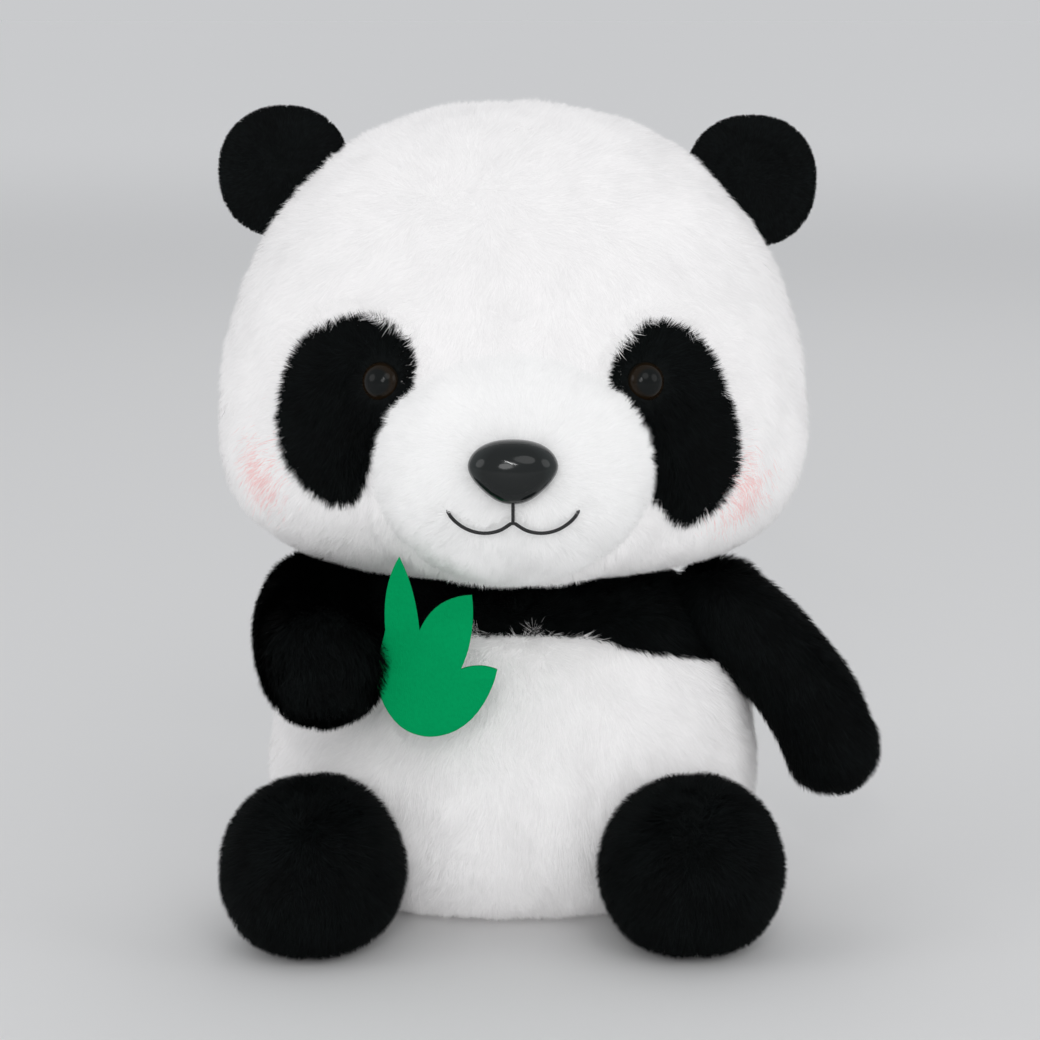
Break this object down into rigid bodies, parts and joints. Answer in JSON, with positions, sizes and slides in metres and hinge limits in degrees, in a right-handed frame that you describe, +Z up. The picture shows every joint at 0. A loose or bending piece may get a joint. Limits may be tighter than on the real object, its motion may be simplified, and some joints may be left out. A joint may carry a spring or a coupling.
{
  "type": "plush panda toy",
  "caption": "Seated stuffed panda with a soft pile, plastic eyes and nose, a raised paw holding a felt bamboo sprig, and jointed soft limbs.",
  "frame": {"origin": "middle of the seat, on the surface that the panda sits on", "axes": "+Z up, -Y the way the panda looks, +X the panda's own left"},
  "size_m": [0.3071, 0.2761, 0.3749],
  "materials": {
    "white_plush": "long soft pile",
    "muzzle_plush": "shorter soft pile",
    "black_plush": "long soft pile",
    "fibre": "loose polyester fibre",
    "pellets": "cotton pouch of plastic pellets",
    "eye_plastic": "polished",
    "nose_plastic": "polished",
    "washer_nylon": "moulded",
    "black_thread": "embroidery thread",
    "green_felt": "brushed felt",
    "satin": "satin ribbon"
  },
  "bodies": {
    "torso": {"belly_panel": "white_plush", "back_panel": "white_plush", "chest_yoke_front": "black_plush", "chest_yoke_back": "black_plush", "seat_panel": "white_plush", "torso_stuffing": "fibre", "pellet_bag": "pellets", "tail_cover": "white_plush", "tail_stuffing": "fibre"},
    "neck": {"neck_stuffing": "fibre"},
    "head": {"face_panel_left": "white_plush", "head_back_panel_left": "white_plush", "eye_patch_left": "black_plush", "eye_left": "eye_plastic", "eye_washer_left": "washer_nylon", "mouth_stitch_left": "black_thread", "face_panel_right": "white_plush", "head_back_panel_right": "white_plush", "eye_patch_right": "black_plush", "eye_right": "eye_plastic", "eye_washer_right": "washer_nylon", "mouth_stitch_right": "black_thread", "muzzle_panel": "muzzle_plush", "head_stuffing": "fibre", "nose": "nose_plastic", "nose_washer": "washer_nylon", "philtrum_stitch": "black_thread"},
    "ear_left": {"ear_front_left": "black_plush", "ear_back_left": "black_plush", "ear_wadding_left": "fibre"},
    "ear_right": {"ear_front_right": "black_plush", "ear_back_right": "black_plush", "ear_wadding_right": "fibre"},
    "arm_left": {"arm_left_back_panel": "black_plush", "arm_left_front_panel": "black_plush", "arm_left_stuffing": "fibre"},
    "arm_right": {"arm_right_inner_panel": "black_plush", "arm_right_outer_panel": "black_plush", "arm_right_stuffing": "fibre"},
    "sprig": {"bamboo_sprig": "green_felt"},
    "leg_left": {"leg_left_outer_panel": "black_plush", "leg_left_inner_panel": "black_plush", "leg_left_stuffing": "fibre"},
    "leg_right": {"leg_right_outer_panel": "black_plush", "leg_right_inner_panel": "black_plush", "leg_right_stuffing": "fibre"},
    "label": {"care_label": "satin"}
  },
  "joints": [
    {"name": "neck_nod", "type": "hinge", "parent": "torso", "child": "neck", "pos_m": [0, 0, 0.159], "axis": [1, 0, 0], "range_deg": [-8, 5], "stiffness_Nm_per_rad": 3},
    {"name": "head_turn", "type": "hinge", "parent": "neck", "child": "head", "pos_m": [0, 0, 0.159], "axis": [0, 0, 1], "range_deg": [-4, 20], "stiffness_Nm_per_rad": 1},
    {"name": "ear_left_fold", "type": "hinge", "parent": "head", "child": "ear_left", "pos_m": [0.093, 0, 0.329], "axis": [0.6231, 0, 0.7821], "range_deg": [-15, 20], "stiffness_Nm_per_rad": 0.05},
    {"name": "ear_right_fold", "type": "hinge", "parent": "head", "child": "ear_right", "pos_m": [-0.09, 0, 0.333], "axis": [-0.6231, 0, 0.7821], "range_deg": [-20, 15], "stiffness_Nm_per_rad": 0.05},
    {"name": "shoulder_left_swing", "type": "hinge", "parent": "torso", "child": "arm_left", "pos_m": [0.098, -0.018, 0.139], "axis": [1, 0, 0], "range_deg": [-40, 30], "stiffness_Nm_per_rad": 0.4},
    {"name": "shoulder_right_swing", "type": "hinge", "parent": "torso", "child": "arm_right", "pos_m": [-0.092, -0.02, 0.141], "axis": [1, 0, 0], "range_deg": [-1, 20], "stiffness_Nm_per_rad": 0.4},
    {"name": "sprig_flex", "type": "hinge", "parent": "arm_right", "child": "sprig", "pos_m": [-0.0595, -0.12, 0.13], "axis": [0, 0, 1], "range_deg": [-12, 12], "stiffness_Nm_per_rad": 0.01},
    {"name": "hip_left_lift", "type": "hinge", "parent": "torso", "child": "leg_left", "pos_m": [0.0805, -0.06, 0.04], "axis": [1, 0, 0], "range_deg": [-24, 0], "stiffness_Nm_per_rad": 0.5},
    {"name": "hip_right_lift", "type": "hinge", "parent": "torso", "child": "leg_right", "pos_m": [-0.091, -0.06, 0.04], "axis": [1, 0, 0], "range_deg": [-24, 0], "stiffness_Nm_per_rad": 0.5},
    {"name": "label_flap", "type": "hinge", "parent": "torso", "child": "label", "pos_m": [-0.04, 0.068, 0.0094], "axis": [1, 0, 0], "range_deg": [-5, 42], "stiffness_Nm_per_rad": 0.002}
  ]
}
